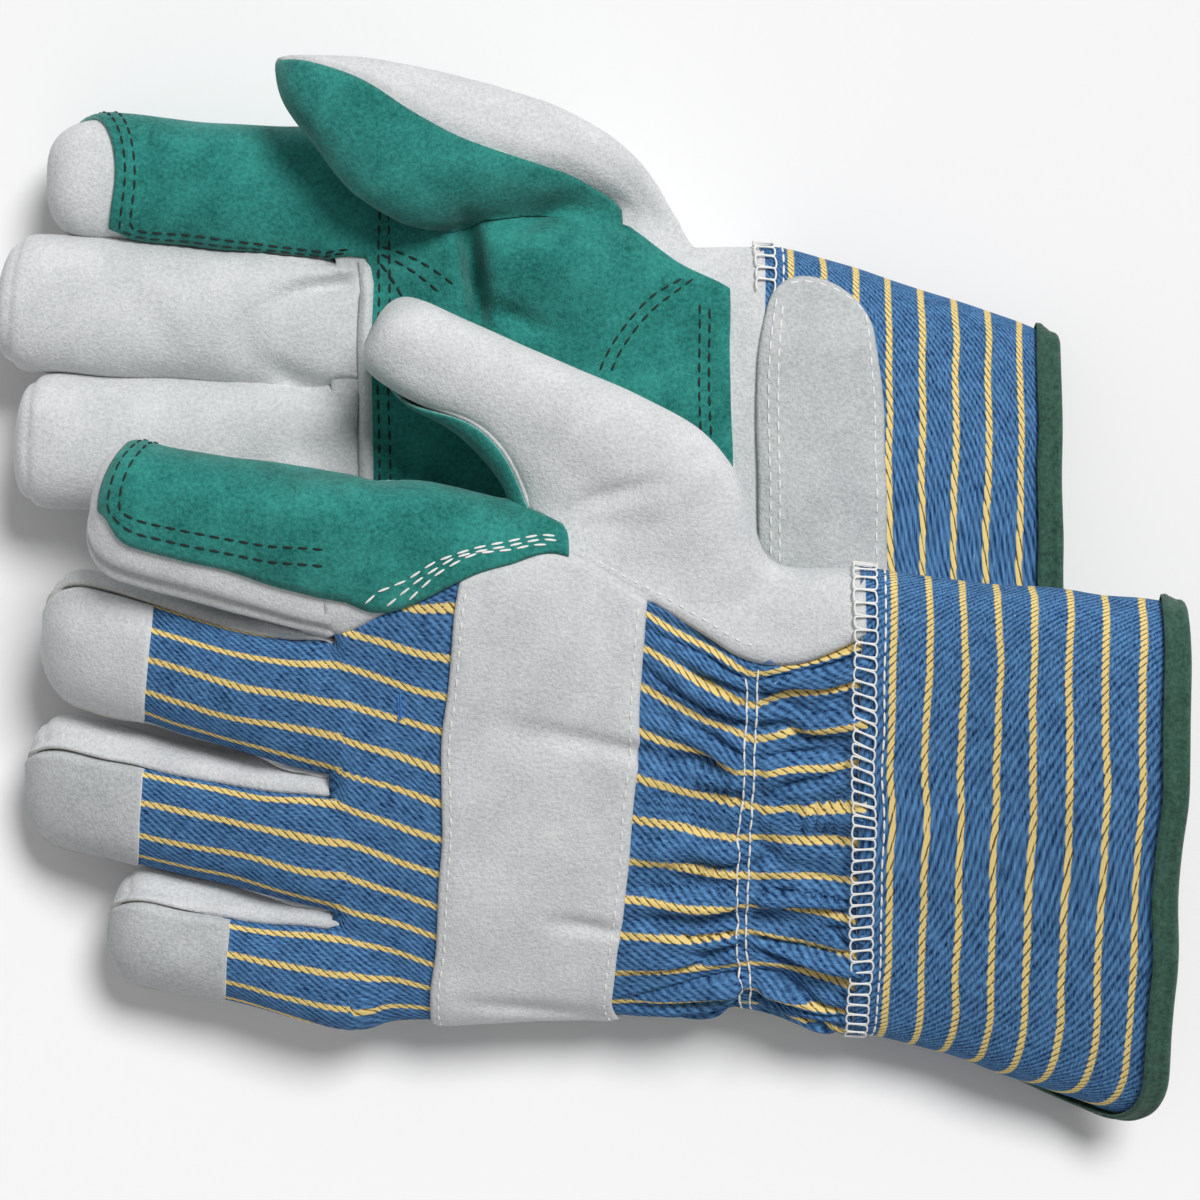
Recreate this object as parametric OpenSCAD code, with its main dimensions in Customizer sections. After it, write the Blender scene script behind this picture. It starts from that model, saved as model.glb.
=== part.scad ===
// Pair of leather-palm work gloves with striped canvas backs and stiff safety cuffs.
// The right glove lies on its back, palm up. The left glove lies over it, back up.
// Units are millimetres, +Z is up, and the fingers of both gloves point along -X.

/* [Layers] */
// Thickness of the grey split leather
leather_t = 1.3; // [0.8:0.1:2.2]
// Thickness of the striped canvas
canvas_t = 0.9; // [0.5:0.1:1.6]
// Thickness of the green suede patches
patch_t = 1.2; // [0.8:0.1:2]
// Thickness of the fleece lining behind the palm
lining_t = 0.8; // [0.4:0.1:1.6]
// Thickness of the stiff interlining of the cuff
backing_t = 1.0; // [0.5:0.1:2]
// Thickness of the binding tape
binding_t = 0.8; // [0.4:0.1:1.4]

/* [Hand] */
// Wrist seam to finger crotch, along the back
hand_len = 104; // [90:1:120]
// Width of the glove at the wrist seam
wrist_w = 102; // [90:1:114]
// Thickness of the empty hand part
hand_h = 24; // [20:0.5:28]
// Thickness at the wrist seam
wrist_h = 24; // [20:0.5:28]

/* [Fingers] */
// Index finger, crotch to tip
index_len = 60; // [52:1:70]
// Middle finger, crotch to tip
middle_len = 69; // [60:1:76]
// Ring finger, crotch to tip
ring_len = 67; // [58:1:74]
// Little finger, crotch to tip
little_len = 50; // [44:1:58]
// Width of the index finger
index_w = 29; // [25:0.5:30]
// Width of the middle finger
middle_w = 28.5; // [25:0.5:30]
// Width of the ring finger
ring_w = 28; // [24:0.5:30]
// Width of the little finger
little_w = 25; // [21:0.5:27]
// Thickness of the fingers
finger_h = 21; // [18:0.5:23]
// Length of the leather cap on the middle, ring and little fingers
tip_len = 25; // [18:1:32]

/* [Thumb] */
// Width of the thumb at its middle
thumb_w = 27; // [22:0.5:31]
// Thickness of the thumb
thumb_h = 18; // [15:0.5:20]
// Swing of each thumb away from what it lies on, degrees
thumb_swing = 30; // [10:1:35]

/* [Cuff] */
// Length of the cuff from the wrist seam to its edge
cuff_len = 64; // [50:1:80]
// Width of the cuff at its open edge
cuff_w = 113; // [100:1:124]
// Thickness of the lying cuff at its open edge
cuff_h = 30; // [22:1:36]
// Width of the binding on each face
binding_w = 5; // [4:0.5:10]
// Length and width of the rounded corners at the side seam
notch_len = 26; // [10:1:36]
// Length of the leather pulse patch along the cuff
pulse_len = 28; // [20:1:36]

/* [Trim] */
// Width of the leather strap over the knuckles
strap_w = 41; // [30:1:48]
// Distance of the strap from the wrist seam
strap_from = 43; // [36:1:48]
// Width of the elastic sewn inside the wrist
elastic_w = 6; // [4:0.5:9]
// Distance of the elastic from the wrist seam
elastic_from = 18.5; // [14:0.5:22]
// Distance of the palm patch from the wrist seam
patch_from = 8; // [4:0.5:12]
// Width of the welt at the foot of the set-in fingers
welt_w = 3; // [2:0.5:4]

/* [Lay] */
// Roll of the upper glove, which leans on the lower one
roll = 22; // [18:0.5:26]
// Height that the upper glove is raised to lie clear of the lower one
lift_gap = 0.5; // [0.3:0.1:3]
// Clearance between the fingers and round the thumb roots
seat = 0.35; // [0.3:0.05:0.8]

/* [Hidden] */

right = 0;
left = 1;
grey = [0.80, 0.81, 0.82];
green = [0.13, 0.50, 0.42];
blue = [0.16, 0.33, 0.56];
dark = [0.11, 0.23, 0.18];
cream = [0.92, 0.90, 0.84];

// How each glove lies, right then left. Wrist seam centre on the table plan.
seat_x = [36, 54.5];
seat_y = [21, -41.7];
// The lower glove stands on its strap. The upper one leans on it.
strap_low = hand_h / 2 + 0.5 + leather_t;
seat_z = [strap_low - 0.5, strap_low + 15.6 + patch_t + lift_gap];
// Share of its length that the bunched hand part takes up as it lies
bunch = [0.84, 1];
// Sideways place of the knuckles and of the cuff edge, from the wrist centre
knuckle_y = [24, 9.7];
edge_y = [-18, -13];
edge_flat = [0.66, 1];
edge_z = [seat_z[0] - cuff_h * edge_flat[0] / 2 - binding_t - 0.3, 4];
edge_open = [0.88, 1];
// Share of the cuff length that shows from above
slope = [0.95, 1];
// Spacing of the fingers beside their width, and where each one points and ends
spread = [1, 8];
squeeze = [0.897, 1];
yaw = [[4, 3.8, 1.5, 1], [8.5, 6, 4.5, 7.5]];
reach = [[1, 0.99, 0.96, 0.9], [0.84, 0.9, 0.99, 0.98]];
tip_z = [[-3, -6, -5, 0], [-9, -23, -20, -7]];
// Thumb path after its root: x, y, z, half width as a share of the thumb width, turn of the section
thumb_path = [
  [[-46, 63.5, -13.5, 0.68, 28], [-66, 70, -22.5, 0.58, 60], [-85, 77.5, -24.5, 0.4, 66],
   [-99.5, 84, -23.5, 0.22, 66]],
  [[-46.5, 66, -4, 0.74, 28], [-70.7, 83, -12, 0.41, 52], [-86.7, 90.5, -16.5, 0.34, 56],
   [-97.2, 95, -19, 0.31, 58]]];

finger_len = [index_len, middle_len, ring_len, little_len];
finger_w = [index_w, middle_w, ring_w, little_w];
side_n = 24;
tube_n = 16;

function mix(a, b, t) = a + (b - a) * t;
function ease(t) = let(u = max(0, min(1, t))) u * u * (3 - 2 * u);
function bend(v, p) = sign(v) * pow(abs(v), p);
function sum_to(v, k, i = 0) = i >= k ? 0 : v[i] + sum_to(v, k, i + 1);

// A point on a rounded section: centre c, side way w, up way u, half sizes and squareness n
function rim(c, w, u, hw, hh, n, a) = c + w * hw * bend(cos(a), 2 / n) + u * hh * bend(sin(a), 2 / n);

// Finger cells across the knuckles
function pitch(g, f) = finger_w[f] * squeeze[g] + spread[g] / 4;
function span(g) = sum_to(finger_w, 4) * squeeze[g] + spread[g];
function cell_y(g, f) = knuckle_y[g] + span(g) / 2 - sum_to(finger_w, f) * squeeze[g] - spread[g] * f / 4
  - pitch(g, f) / 2;

// Hand: d runs from the wrist seam to the crotch, a round the section, o outwards
function hand_hw(g, d) = let(t = d / hand_len)
  mix(wrist_w, span(g), ease((t - 0.3) / 0.7)) / 2 - 2 * exp(-pow((d - elastic_from - elastic_w / 2) / 9, 2));
function hand_hh(d) = let(t = d / hand_len)
  mix(wrist_h / 2, hand_h / 2 + 0.5 * sin(180 * t), ease(t / 0.3)) - 0.8 * ease((t - 0.75) / 0.25);
function hand_pt(g, d, a, o) =
  rim([-d * bunch[g], knuckle_y[g] * ease(d / hand_len), 0], [0, 1, 0], [0, 0, 1],
    hand_hw(g, d) + o, hand_hh(d) + o, 3, a);
// Stations of the hand, from the wrist seam to the crotch
stops = [0, patch_from, elastic_from, elastic_from + elastic_w, strap_from, strap_from + strap_w / 2,
  strap_from + strap_w, hand_len - 10, hand_len - 10 + welt_w, hand_len];

// Cuff: the edge falls back to the side seam in two rounded corners
function edge_at(a) = let(u = max(0, 1 - abs(a - 180) / 52)) cuff_len - notch_len * (1 - sqrt(1 - u * u));
function cuff_pt(g, s, a, o) = let(d = s * edge_at(a), t = d / cuff_len)
  rim([d * slope[g], edge_y[g] * t, edge_z[g] * ease(t)], [0, 1, 0], [0, 0, 1],
    mix(wrist_w, cuff_w * edge_open[g], ease(t)) / 2 + o, mix(wrist_h, cuff_h * edge_flat[g], ease(t)) / 2 + o,
    2.8, a);
binding_back = 1 - binding_w / cuff_len;
cuff_stops = [0, pulse_len / cuff_len / 2, pulse_len / cuff_len, 0.7, binding_back, 1];

// Finger: t runs from the crotch to the tip
function finger_t(f) = let(k = 1 - tip_len / finger_len[f], e = tip_len / finger_len[f])
  concat([for (q = [0, 0.2, 0.45, 0.72, 1]) k * q], [for (q = [0.44, 0.2, 0.06, 0]) 1 - e * q]);
function finger_pt(g, f, t, a, o) =
  let(l = finger_len[f] * reach[g][f], q = yaw[g][f], r = q * ease(t / 0.3),
    u = max(0, 1 - (1 - t) * finger_len[f] / cap_len), cap = pow(max(0.0003, 1 - pow(u, 2.4)), 1 / 2.4),
    hw = mix(pitch(g, f), finger_w[f] * squeeze[g], ease(t / 0.35)) / 2 - seat / 2,
    hh = mix(hand_hh(hand_len), finger_h / 2, ease(t / 0.4)))
  rim([-hand_len * bunch[g] - t * l * cos(q) - o * u, cell_y(g, f) + t * l * sin(q), tip_z[g][f] * t * sqrt(t)],
    [sin(r), cos(r), 0], [0, 0, 1], max(0.25, hw * cap + o), max(0.2, hh * cap + o),
    mix(3.6, 2.3, ease(t / 0.5)), a);

// Length over which a fingertip is rounded off
cap_len = 0.42 * tip_len;

// Thumb: five stations along its path, then a rounded tip
function path_at(p, t, k) = let(v = t * 4, i = min(3, floor(v)), w = v - i, a = p[max(0, i - 1)][k], b = p[i][k],
  c = p[i + 1][k], d = p[min(4, i + 2)][k])
  b + 0.5 * w * (c - a + w * (2 * a - 5 * b + 4 * c - d + w * (3 * (b - c) + d - a)));
function thumb_pt(g, t, a, o) =
  let(p = concat([thumb_root(g)], thumb_path[g]), u = max(0, (t - 0.8) / 0.2), cap = pow(max(0.0004, 1 - pow(u, 2.4)), 1 / 2.4),
    q = path_at(p, t, 4), hw = path_at(p, t, 3) * thumb_w,
    hh = mix(root_h, thumb_h / 2, ease(t / 0.3)))
  rim([path_at(p, t, 0) - o * u, path_at(p, t, 1), path_at(p, t, 2)],
    [cos(q), sin(q), 0], [0, 0, 1], max(0.25, hw * cap + o), max(0.2, hh * cap + o),
    mix(3.4, 2.3, ease(t / 0.4)), a);
thumb_stops = [0, 0.1, 0.22, 0.36, 0.52, 0.68, 0.8, 0.9, 0.96, 0.99, 1];
// The thumb root sits in the opening left in the side of the palm leather
root_at = (stops[2] + stops[5]) / 2;
function thumb_root(g) = [-root_at * bunch[g], hand_pt(g, root_at, 30, 0)[1] + 2 * seat, 0,
  ((stops[5] - stops[2]) * bunch[g] / 2 - seat) / thumb_w, 0];
root_h = hand_h / 2 * pow(sin(30), 2 / 3) - leather_t * 0.4 - seat;

// Closed sheet between two grids of points. A cell is left out where keep says so.
module sheet(outer, inner, wrap = false, keep = function(i, j) true) {
  n = len(outer) - 1;
  c = len(outer[0]);
  m = wrap ? c : c - 1;
  k = (n + 1) * c;
  function id(i, j) = i * c + j % c;
  function has(i, j) = i >= 0 && i < n && (wrap || (j >= 0 && j < m)) && keep(i, (j + m) % m);
  function quad(p, q, r, s) = [[p, q, r], [p, r, s]];
  cells = [for (i = [0:n - 1], j = [0:m - 1]) if (has(i, j)) [i, j]];
  faces = [for (e = cells) let(i = e[0], j = e[1], a = id(i, j), b = id(i, j + 1), x = id(i + 1, j + 1),
      y = id(i + 1, j))
    each concat(quad(a, b, x, y), quad(k + a, k + y, k + x, k + b),
      has(i - 1, j) ? [] : quad(b, a, k + a, k + b), has(i + 1, j) ? [] : quad(y, x, k + x, k + y),
      has(i, j - 1) ? [] : quad(a, y, k + y, k + a), has(i, j + 1) ? [] : quad(x, b, k + b, k + x))];
  polyhedron([for (r = outer) each r, for (r = inner) each r], faces);
}

// Closed solid through rings of points
module plug(rings) {
  n = len(rings) - 1;
  m = len(rings[0]);
  sides = [for (i = [0:n - 1], j = [0:m - 1]) let(a = i * m + j, b = i * m + (j + 1) % m)
    each [[a, b, b + m], [a, b + m, a + m]]];
  polyhedron([for (r = rings) each r],
    concat(sides, [[for (j = [m - 1:-1:0]) j]], [[for (j = [0:m - 1]) n * m + j]]));
}

// Stands a glove in its place. The right glove is the left one turned palm up.
module lay(g) {
  translate([seat_x[g], seat_y[g], seat_z[g]])
    rotate([g == left ? roll : 0, 0, 0])
      mirror([0, 0, g == left ? 0 : 1])
        children();
}

function side_angles(j0, j1) = [for (j = [j0:j1]) j * 360 / side_n];
function tube_angles(j0, j1) = [for (j = [j0:j1]) j * 360 / tube_n];
// Facet at which a finger's back meets its front: higher on the ring and little fingers
function seam_at(f) = f == 1 ? 1 : 2;
function hand_grid(g, k0, k1, angles, o) = [for (k = [k0:k1]) [for (a = angles) hand_pt(g, stops[k], a, o)]];
function finger_grid(g, f, k0, k1, angles, o) =
  [for (k = [k0:k1]) [for (a = angles) finger_pt(g, f, finger_t(f)[k], a, o)]];
function thumb_grid(g, k0, k1, angles, o) = [for (k = [k0:k1]) [for (a = angles) thumb_pt(g, thumb_stops[k], a, o)]];
function cuff_grid(g, k0, k1, angles, o) =
  [for (k = [k1:-1:k0]) [for (a = angles) cuff_pt(g, cuff_stops[k], a, o)]];

// Room that the set-in thumb takes up through its swing
module thumb_room(g) {
  root = thumb_root(g);
  hinge = [root[0], root[1], root[2]];
  rings = thumb_grid(g, 0, 6, tube_angles(0, 15), patch_t + 2 * seat);
  for (q = [0, thumb_swing / 2, thumb_swing])
    translate(hinge)
      rotate([g == left ? q : -q, 0, 0])
        translate(-hinge)
          plug(rings);
}

// Palm of grey leather, wrapped over the thumb side, open where the thumb is set in
module palm_leather(g) {
  angles = side_angles(12, 26);
  color(grey) lay(g) difference() {
    sheet(hand_grid(g, 0, 9, angles, 0), hand_grid(g, 0, 9, angles, -leather_t),
      keep = function(i, j) !(i >= 2 && i <= 4 && j >= 10 && j <= 13));
    thumb_room(g);
  }
}

// Fleece lining behind the palm
module palm_lining(g) {
  angles = side_angles(12, 21);
  color(cream) lay(g) difference() {
    sheet(hand_grid(g, 0, 9, angles, -leather_t), hand_grid(g, 0, 9, angles, -leather_t - lining_t));
    thumb_room(g);
  }
}

// Green suede patch over the palm
module palm_patch(g) {
  angles = side_angles(13, 22);
  color(green) lay(g) difference() {
    sheet(hand_grid(g, 1, 7, angles, patch_t), hand_grid(g, 1, 7, angles, 0),
      keep = function(i, j) !(i >= 1 && i <= 3 && j >= 9));
    thumb_room(g);
  }
}

// Index finger, leather all round
module index_leather(g) {
  angles = tube_angles(0, 15);
  color(grey) lay(g)
    sheet(finger_grid(g, 0, 0, 8, angles, 0), finger_grid(g, 0, 0, 8, angles, -leather_t), wrap = true);
}

// Green suede patch wrapped round the index finger
module index_patch(g) {
  angles = tube_angles(9, 20);
  color(green) lay(g)
    sheet(finger_grid(g, 0, 1, 6, angles, patch_t), finger_grid(g, 0, 1, 6, angles, 0));
}

// Front and side walls of a set-in finger
module finger_front(g, f) {
  angles = tube_angles(7, 16 + seam_at(f));
  color(grey) lay(g)
    sheet(finger_grid(g, f, 0, 8, angles, 0), finger_grid(g, f, 0, 8, angles, -leather_t));
}

// Canvas back of a finger
module finger_back(g, f) {
  angles = tube_angles(seam_at(f), 7);
  color(blue) lay(g)
    sheet(finger_grid(g, f, 0, 4, angles, 0), finger_grid(g, f, 0, 4, angles, -canvas_t));
}

// Leather cap on the back of a fingertip
module finger_tip(g, f) {
  angles = tube_angles(seam_at(f), 7);
  color(grey) lay(g)
    sheet(finger_grid(g, f, 4, 8, angles, 0), finger_grid(g, f, 4, 8, angles, -leather_t));
}

// Striped canvas over the back of the hand
module back_canvas(g) {
  angles = side_angles(2, 12);
  color(blue) lay(g) difference() {
    sheet(hand_grid(g, 0, 9, angles, 0), hand_grid(g, 0, 9, angles, -canvas_t));
    thumb_room(g);
  }
}

// Leather strap across the knuckles. The lower glove rests on it, so it is flattened there.
module knuckle_strap(g) {
  angles = side_angles(2, 12);
  color(grey) difference() {
    lay(g)
      sheet(hand_grid(g, 4, 6, angles, leather_t), hand_grid(g, 4, 6, angles, 0));
    translate([-2 * hand_len, -2 * wrist_w, -hand_h])
      cube([4 * hand_len, 4 * wrist_w, hand_h]);
  }
}

// Leather welt where the set-in fingers join the palm
module finger_welt(g) {
  angles = side_angles(14, 21);
  color(grey) lay(g)
    sheet(hand_grid(g, 7, 8, angles, leather_t), hand_grid(g, 7, 8, angles, 0));
}

// Elastic that gathers the back at the wrist
module wrist_elastic(g) {
  angles = side_angles(3, 11);
  color(cream) lay(g)
    sheet(hand_grid(g, 2, 3, angles, -canvas_t), hand_grid(g, 2, 3, angles, -canvas_t - lining_t));
}

thumb_front_angles = [183, each tube_angles(9, 13), 312];

// Thumb: back and outer edge in grey leather
module thumb_back(g) {
  angles = tube_angles(-2, 8);
  color(grey) lay(g)
    sheet(thumb_grid(g, 0, 10, angles, 0), thumb_grid(g, 0, 10, angles, -leather_t));
}

// Thumb: leather front
module thumb_front(g) {
  angles = thumb_front_angles;
  color(grey) lay(g)
    sheet(thumb_grid(g, 0, 10, angles, 0), thumb_grid(g, 0, 10, angles, -leather_t));
}

// Thumb: green suede over the front
module thumb_patch(g) {
  angles = thumb_front_angles;
  color(green) lay(g)
    sheet(thumb_grid(g, 2, 9, angles, patch_t), thumb_grid(g, 2, 9, angles, 0));
}

// Striped canvas of the cuff
module cuff_canvas(g) {
  angles = side_angles(0, 23);
  color(blue) lay(g)
    sheet(cuff_grid(g, 0, 5, angles, 0), cuff_grid(g, 0, 5, angles, -canvas_t), wrap = true);
}

// Stiff interlining inside the cuff
module cuff_backing(g) {
  angles = side_angles(0, 23);
  color(cream) lay(g)
    sheet(cuff_grid(g, 0, 5, angles, -canvas_t), cuff_grid(g, 0, 5, angles, -canvas_t - backing_t), wrap = true);
}

// Binding tape folded over the open edge of the cuff
module cuff_binding(g) {
  angles = side_angles(0, 23);
  back = binding_back;
  over = 1 + binding_t / cuff_len;
  low = -canvas_t - backing_t;
  fold = [[back, 0], [back, binding_t], [over, binding_t], [over, low - binding_t], [back, low - binding_t],
    [back, low], [1, low], [1, -canvas_t], [1, 0]];
  pts = [for (a = angles) for (q = fold) cuff_pt(g, q[0], a, q[1])];
  m = len(fold);
  n = side_n * m;
  faces = [for (j = [0:side_n - 1], k = [0:m - 1])
    let(p = j * m + k, q = j * m + (k + 1) % m, r = (q + m) % n, s = (p + m) % n)
      each k == 5 ? [[p, q, s], [q, r, s]] : [[p, q, r], [p, r, s]]];
  color(dark) lay(g)
    polyhedron(pts, faces);
}

// Leather patch over the pulse, on the palm side of the cuff
module pulse_patch(g) {
  angles = side_angles(15, 21);
  color(grey) lay(g)
    sheet(cuff_grid(g, 0, 2, angles, leather_t), cuff_grid(g, 0, 2, angles, 0));
}

palm_leather(right);  // right_palm_leather
palm_lining(right);  // right_palm_lining
palm_patch(right);  // right_palm_patch
index_leather(right);  // right_index_leather
index_patch(right);  // right_index_patch
finger_front(right, 1);  // right_middle_front
finger_front(right, 2);  // right_ring_front
finger_front(right, 3);  // right_little_front
back_canvas(right);  // right_back_canvas
finger_back(right, 1);  // right_middle_back
finger_back(right, 2);  // right_ring_back
finger_back(right, 3);  // right_little_back
finger_tip(right, 1);  // right_middle_tip
finger_tip(right, 2);  // right_ring_tip
finger_tip(right, 3);  // right_little_tip
knuckle_strap(right);  // right_knuckle_strap
finger_welt(right);  // right_finger_welt
wrist_elastic(right);  // right_wrist_elastic
thumb_back(right);  // right_thumb_back
thumb_front(right);  // right_thumb_front
thumb_patch(right);  // right_thumb_patch
cuff_canvas(right);  // right_cuff_canvas
cuff_backing(right);  // right_cuff_backing
cuff_binding(right);  // right_cuff_binding
pulse_patch(right);  // right_pulse_patch
palm_leather(left);  // left_palm_leather
palm_lining(left);  // left_palm_lining
palm_patch(left);  // left_palm_patch
index_leather(left);  // left_index_leather
index_patch(left);  // left_index_patch
finger_front(left, 1);  // left_middle_front
finger_front(left, 2);  // left_ring_front
finger_front(left, 3);  // left_little_front
back_canvas(left);  // left_back_canvas
finger_back(left, 1);  // left_middle_back
finger_back(left, 2);  // left_ring_back
finger_back(left, 3);  // left_little_back
finger_tip(left, 1);  // left_middle_tip
finger_tip(left, 2);  // left_ring_tip
finger_tip(left, 3);  // left_little_tip
knuckle_strap(left);  // left_knuckle_strap
finger_welt(left);  // left_finger_welt
wrist_elastic(left);  // left_wrist_elastic
thumb_back(left);  // left_thumb_back
thumb_front(left);  // left_thumb_front
thumb_patch(left);  // left_thumb_patch
cuff_canvas(left);  // left_cuff_canvas
cuff_backing(left);  // left_cuff_backing
cuff_binding(left);  // left_cuff_binding
pulse_patch(left);  // left_pulse_patch
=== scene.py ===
import functools
import math

import bmesh
import bpy
from mathutils import Matrix, Vector, noise
from mathutils.bvhtree import BVHTree


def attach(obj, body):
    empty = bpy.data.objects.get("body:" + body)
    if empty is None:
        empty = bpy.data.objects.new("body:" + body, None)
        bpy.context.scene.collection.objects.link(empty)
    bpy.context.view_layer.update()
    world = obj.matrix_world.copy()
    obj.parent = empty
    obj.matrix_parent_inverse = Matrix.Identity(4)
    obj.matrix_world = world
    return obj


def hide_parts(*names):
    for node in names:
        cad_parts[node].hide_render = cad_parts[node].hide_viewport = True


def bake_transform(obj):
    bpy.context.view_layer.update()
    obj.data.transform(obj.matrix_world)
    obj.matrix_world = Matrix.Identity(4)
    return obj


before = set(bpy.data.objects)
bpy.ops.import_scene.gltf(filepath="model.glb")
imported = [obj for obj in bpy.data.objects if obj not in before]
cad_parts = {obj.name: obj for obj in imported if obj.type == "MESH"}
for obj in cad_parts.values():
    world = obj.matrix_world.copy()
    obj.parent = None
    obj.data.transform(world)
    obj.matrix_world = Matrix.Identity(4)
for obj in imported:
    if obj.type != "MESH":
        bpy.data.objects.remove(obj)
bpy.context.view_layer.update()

# The hand form
# Both gloves are sewn from one pattern, so both are drawn over one hand form: a flat wide
# hand, four fingers and a thumb. Sizes are millimetres in the glove's own frame: x runs from
# the fingers to the cuff, y to the thumb side and z to the back of the hand.
RIGHT, LEFT = 0, 1
SIDES = ("right", "left")
INDEX, MIDDLE, RING, LITTLE = 0, 1, 2, 3
FINGERS = ("index", "middle", "ring", "little")
HAND_LEN = 104
WRIST_W = 102
WRIST_H = 24
HAND_H = 24
FINGER_LEN = (60, 69, 67, 50)
FINGER_W = (29, 28.5, 28, 25)
FINGER_H = 21
TIP_LEN = 25
CAP_LEN = 0.42 * TIP_LEN
THUMB_W = 27
THUMB_H = 18
ELASTIC_MID = 21.5
SEAT = 0.35
# How each glove lies, right then left: bunched length, sideways bend and spread of the fingers
BUNCH = (0.84, 1)
KNUCKLE_Y = (24, 9.7)
SPREAD = (1, 8)
SQUEEZE = (0.897, 1)
YAW = ((4, 3.8, 1.5, 1), (8.5, 6, 4.5, 7.5))
REACH = ((1, 0.99, 0.96, 0.9), (0.84, 0.9, 0.99, 0.98))
TIP_Z = ((-3, -6, -5, 0), (-9, -23, -20, -7))
# Stations of each thumb: x, y, z, half width as a share of its width, turn of its section
THUMB_PATH = (
    ((-34.4, 55.2, 0, 0.687, 0), (-46, 63.5, -13.5, 0.68, 28), (-66, 70, -22.5, 0.58, 60),
     (-85, 77.5, -24.5, 0.4, 66), (-99.5, 84, -23.5, 0.22, 66)),
    ((-41, 50.7, 0, 0.82, 0), (-46.5, 66, -4, 0.74, 28), (-70.7, 83, -12, 0.41, 52),
     (-86.7, 90.5, -16.5, 0.34, 56), (-97.2, 95, -19, 0.31, 58)),
)
THUMB_ROOT_H = 6.7
# Foot of the thumb on the side of the hand: middle, half length and half angle
THUMB_AT, THUMB_FOOT_D, THUMB_FOOT_A = 41, 27, 40
# and the share of the thumb's length over which it rises out of the hand
THUMB_FOOT_TO = 0.24
# Ball of the thumb, which swells the upturned palm: x, y, half length, half width and height
THENAR = (-47, 49, 17, 11, 8)
# Place of each wrist seam on the table, and the roll of the upper glove
SEAT_AT = (Vector((36, 21, 13.3)), Vector((54.5, -41.7, 31.1)))
ROLL = Matrix.Rotation(math.radians(22), 3, "X")
TABLE_GAP = 0.05


def mix(a, b, t):
    return a + (b - a) * t


def ease(t):
    t = min(1, max(0, t))
    return t * t * (3 - 2 * t)


def bend(v, power):
    return math.copysign(abs(v) ** power, v)


def bump(x, width):
    return math.exp(-((x / width) ** 2))


@functools.lru_cache(None)
def follow(points, x):
    """Height at x of a smooth curve through points that run in rising x."""
    x = min(max(x, points[0][0]), points[-1][0])
    i = max(k for k in range(len(points) - 1) if points[k][0] <= x)

    def slope(k):
        a, b = points[max(0, k - 1)], points[min(len(points) - 1, k + 1)]
        return (b[1] - a[1]) / (b[0] - a[0])

    (x0, y0), (x1, y1) = points[i], points[i + 1]
    h = x1 - x0
    t = (x - x0) / h
    return (
        (1 + 2 * t) * (1 - t) ** 2 * y0
        + t * (1 - t) ** 2 * h * slope(i)
        + t * t * (3 - 2 * t) * y1
        - t * t * (1 - t) * h * slope(i + 1)
    )


def section(centre, across, half_w, half_h, square, a):
    """Point at angle a on a rounded section."""
    a = math.radians(a)
    side = half_w * bend(math.cos(a), 2 / square)
    up = half_h * bend(math.sin(a), 2 / square)
    return Vector((centre[0] + across[0] * side, centre[1] + across[1] * side, centre[2] + up))


def span(g):
    return sum(FINGER_W) * SQUEEZE[g] + SPREAD[g]


def pitch(g, f):
    return FINGER_W[f] * SQUEEZE[g] + SPREAD[g] / 4


def cell_y(g, f):
    return KNUCKLE_Y[g] + span(g) / 2 - sum(pitch(g, k) for k in range(f)) - pitch(g, f) / 2


def hand_half(g, d):
    t = d / HAND_LEN
    return mix(WRIST_W, span(g), ease((t - 0.3) / 0.7)) / 2 - 2 * bump(d - ELASTIC_MID, 9)


def hand_rise(d):
    t = min(1, max(0, d / HAND_LEN))
    swell = HAND_H / 2 + 0.5 * math.sin(math.pi * t)
    return mix(WRIST_H / 2, swell, ease(t / 0.3)) - 0.8 * ease((t - 0.75) / 0.25)


def hand(g, d, a, o):
    """Hand d from the wrist seam, at angle a: 0 thumb side, 90 back, 180 little finger, 270 palm."""
    centre = (-d * BUNCH[g], KNUCKLE_Y[g] * ease(d / HAND_LEN), 0)
    p = section(centre, (0, 1), hand_half(g, d) + o, hand_rise(d) + o, 3, a)
    if g == RIGHT:
        x, y, long, wide, high = THENAR
        p.z -= high * ease(-p.z / 8) * bump(p.x - x, long) * bump(p.y - y, wide)
    return p


def finger(g, f, t, a, o):
    """Finger f at t from crotch to tip. The flattened fingers of the lower glove end blunt."""
    length = FINGER_LEN[f] * REACH[g][f]
    turn = math.radians(YAW[g][f])
    lean = turn * ease(t / 0.3)
    round_off = max(0, 1 - (1 - t) * FINGER_LEN[f] / CAP_LEN)
    blunt = 3.4 if g == RIGHT and f != INDEX else 2.4
    cap = max(0, 1 - round_off**blunt) ** (1 / blunt)
    half_w = mix(pitch(g, f), FINGER_W[f] * SQUEEZE[g], ease(t / 0.35)) / 2 - SEAT / 2
    half_h = mix(hand_rise(HAND_LEN), FINGER_H / 2, ease(t / 0.4))
    centre = (
        -HAND_LEN * BUNCH[g] - t * length * math.cos(turn) - o * round_off,
        cell_y(g, f) + t * length * math.sin(turn),
        TIP_Z[g][f] * max(0, t) ** 1.5,
    )
    return section(
        centre, (math.sin(lean), math.cos(lean)), (half_w + o) * cap, (half_h + o) * cap,
        mix(3.6, 2.3, ease(t / 0.5)), a,
    )


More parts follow.
